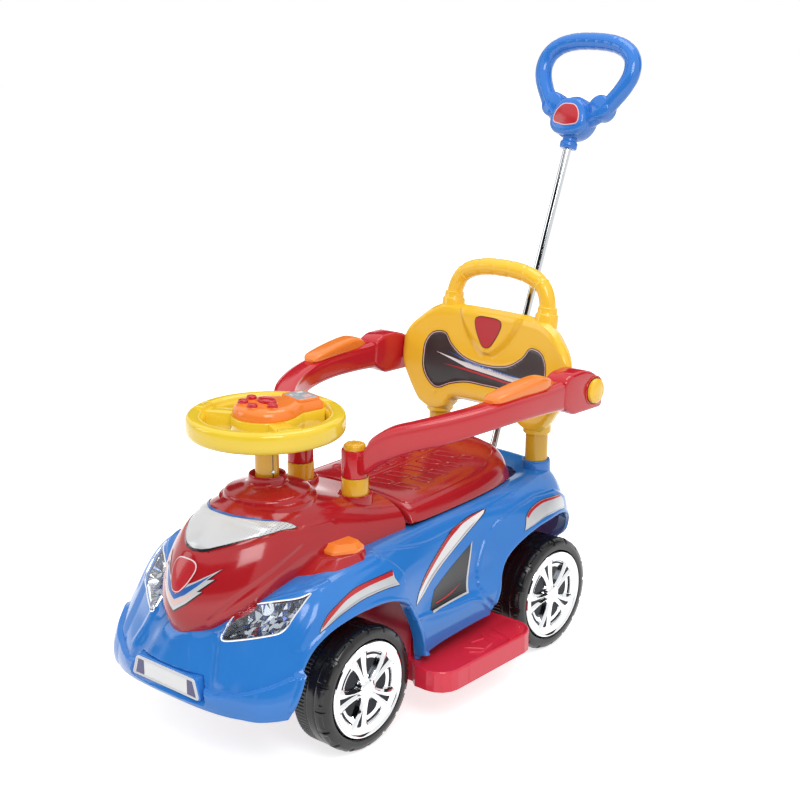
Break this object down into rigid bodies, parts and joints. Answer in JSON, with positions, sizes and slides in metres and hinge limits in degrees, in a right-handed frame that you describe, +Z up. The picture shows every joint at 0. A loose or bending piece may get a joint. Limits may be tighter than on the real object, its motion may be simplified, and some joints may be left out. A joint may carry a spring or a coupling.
{
  "type": "ride-on push car",
  "caption": "Foot-to-floor ride-on push car with steering wheel, lift-up seat, swing-out guard rails, backrest and a parent push handle.",
  "frame": {"origin": "on the floor, at the middle of the car's whole length and width, push handle included", "axes": "+X to the car's left side, -Y to the nose, +Z up"},
  "size_m": [0.38, 0.7914, 0.7478],
  "materials": {
    "blue_shell": "glossy moulded polypropylene, mid blue",
    "red_plastic": "glossy moulded polypropylene, red",
    "yellow_plastic": "glossy moulded polypropylene, warm yellow",
    "orange_plastic": "satin moulded plastic, orange",
    "blue_grip": "satin moulded plastic, mid blue",
    "white_plate": "white printed plate, plain, with dark blue ends",
    "clear_lens": "clear moulded lens",
    "lamp_chrome": "vacuum metallised plastic bowl",
    "chrome_cover": "vacuum metallised plastic",
    "black_tyre": "blow-moulded black plastic with a satin tread",
    "red_badge": "plain red badge with a light rim",
    "red_button": "red push buttons",
    "grey_screen": "pale printed dial window",
    "bright_tube": "chrome plated steel tube",
    "axle_steel": "plain drawn steel",
    "black_plastic": "matt black moulded plastic"
  },
  "bodies": {
    "car": {"body_shell": "blue_shell", "bonnet_cover": "red_plastic", "chassis": "red_plastic", "number_plate": "white_plate", "headlight_lens_l": "clear_lens", "headlight_lens_r": "clear_lens", "headlight_bowl_l": "lamp_chrome", "headlight_bowl_r": "lamp_chrome", "fender_lamp_l": "orange_plastic", "fender_lamp_r": "orange_plastic", "front_post_l": "yellow_plastic", "front_post_r": "yellow_plastic", "rear_post_l": "yellow_plastic", "rear_post_r": "yellow_plastic", "rail_cap_l": "yellow_plastic", "rail_cap_r": "yellow_plastic", "backrest": "yellow_plastic", "back_badge": "red_badge", "push_pole": "bright_tube", "push_handle": "blue_grip", "hub_cover": "blue_grip", "hub_badge": "red_badge", "rear_axle": "axle_steel", "lid_pin": "axle_steel"},
    "steering": {"steering_wheel": "yellow_plastic", "wheel_console": "orange_plastic", "console_screen": "grey_screen", "steering_column": "yellow_plastic", "steering_rod": "axle_steel"},
    "seat": {"seat_lid": "red_plastic"},
    "tie": {"tie_rod": "black_plastic"},
    "front_hub_l": {"knuckle_l": "black_plastic"},
    "front_hub_r": {"knuckle_r": "black_plastic"},
    "front_wheel_l": {"tyre_fl": "black_tyre", "wheel_cover_fl": "chrome_cover"},
    "front_wheel_r": {"tyre_fr": "black_tyre", "wheel_cover_fr": "chrome_cover"},
    "rear_wheel_l": {"tyre_rl": "black_tyre", "wheel_cover_rl": "chrome_cover"},
    "rear_wheel_r": {"tyre_rr": "black_tyre", "wheel_cover_rr": "chrome_cover"},
    "rail_l": {"guard_rail_l": "red_plastic", "arm_pad_l": "orange_plastic"},
    "rail_r": {"guard_rail_r": "red_plastic", "arm_pad_r": "orange_plastic"},
    "latch_l": {"latch_button_l": "yellow_plastic"},
    "latch_r": {"latch_button_r": "yellow_plastic"},
    "button_1": {"console_button_1": "red_button"},
    "button_2": {"console_button_2": "red_button"},
    "button_3": {"console_button_3": "red_button"},
    "button_4": {"console_button_4": "red_button"},
    "button_5": {"console_button_5": "red_button"}
  },
  "joints": [
    {"name": "steer", "type": "hinge", "parent": "car", "child": "steering", "pos_m": [0, -0.2369, 0.35], "axis": [0, 0, 1], "range_deg": [-32, 32]},
    {"name": "knuckle_turn_l", "type": "hinge", "parent": "car", "child": "front_hub_l", "pos_m": [0.078, -0.2345, 0.1], "axis": [0, 0, 1], "range_deg": [-14.5, 14.5]},
    {"name": "knuckle_turn_r", "type": "hinge", "parent": "car", "child": "front_hub_r", "pos_m": [-0.078, -0.2345, 0.1], "axis": [0, 0, 1], "range_deg": [-14.5, 14.5]},
    {"name": "tie_slide", "type": "slide", "parent": "car", "child": "tie", "axis": [1, 0, 0], "range_m": [-0.0082, 0.0082]},
    {"name": "seat_hinge", "type": "hinge", "parent": "car", "child": "seat", "pos_m": [0, 0.1436, 0.209], "axis": [-1, 0, 0], "range_deg": [0, 55]},
    {"name": "rail_swing_l", "type": "hinge", "parent": "car", "child": "rail_l", "pos_m": [0.0436, -0.1399, 0.288], "axis": [0, 0, -1], "range_deg": [0, 65]},
    {"name": "rail_swing_r", "type": "hinge", "parent": "car", "child": "rail_r", "pos_m": [-0.0436, -0.1399, 0.288], "axis": [0, 0, 1], "range_deg": [0, 65]},
    {"name": "latch_press_l", "type": "slide", "parent": "rail_l", "child": "latch_l", "axis": [-1, 0, 0], "range_m": [0, 0.003], "stiffness_N_per_m": 400, "springref_m": -0.0015},
    {"name": "latch_press_r", "type": "slide", "parent": "rail_r", "child": "latch_r", "axis": [1, 0, 0], "range_m": [0, 0.003], "stiffness_N_per_m": 400, "springref_m": -0.0015},
    {"name": "front_spin_l", "type": "hinge", "parent": "front_hub_l", "child": "front_wheel_l", "pos_m": [0.125, -0.2345, 0.072], "axis": [1, 0, 0], "continuous": true},
    {"name": "rear_spin_l", "type": "hinge", "parent": "car", "child": "rear_wheel_l", "pos_m": [0.125, 0.1127, 0.072], "axis": [1, 0, 0], "continuous": true},
    {"name": "front_spin_r", "type": "hinge", "parent": "front_hub_r", "child": "front_wheel_r", "pos_m": [-0.125, -0.2345, 0.072], "axis": [1, 0, 0], "continuous": true},
    {"name": "rear_spin_r", "type": "hinge", "parent": "car", "child": "rear_wheel_r", "pos_m": [-0.125, 0.1127, 0.072], "axis": [1, 0, 0], "continuous": true},
    {"name": "button_press_1", "type": "slide", "parent": "steering", "child": "button_1", "axis": [0, 0, -1], "range_m": [0, 0.0018], "stiffness_N_per_m": 250, "springref_m": -0.001},
    {"name": "button_press_2", "type": "slide", "parent": "steering", "child": "button_2", "axis": [0, 0, -1], "range_m": [0, 0.0018], "stiffness_N_per_m": 250, "springref_m": -0.001},
    {"name": "button_press_3", "type": "slide", "parent": "steering", "child": "button_3", "axis": [0, 0, -1], "range_m": [0, 0.0018], "stiffness_N_per_m": 250, "springref_m": -0.001},
    {"name": "button_press_4", "type": "slide", "parent": "steering", "child": "button_4", "axis": [0, 0, -1], "range_m": [0, 0.0018], "stiffness_N_per_m": 250, "springref_m": -0.001},
    {"name": "button_press_5", "type": "slide", "parent": "steering", "child": "button_5", "axis": [0, 0, -1], "range_m": [0, 0.0018], "stiffness_N_per_m": 250, "springref_m": -0.001}
  ],
  "couplings": [
    {"joint": "knuckle_turn_l", "follows": "steer", "ratio": 0.443},
    {"joint": "knuckle_turn_r", "follows": "steer", "ratio": 0.443},
    {"joint": "tie_slide", "follows": "steer", "m_per_rad": -0.014}
  ]
}
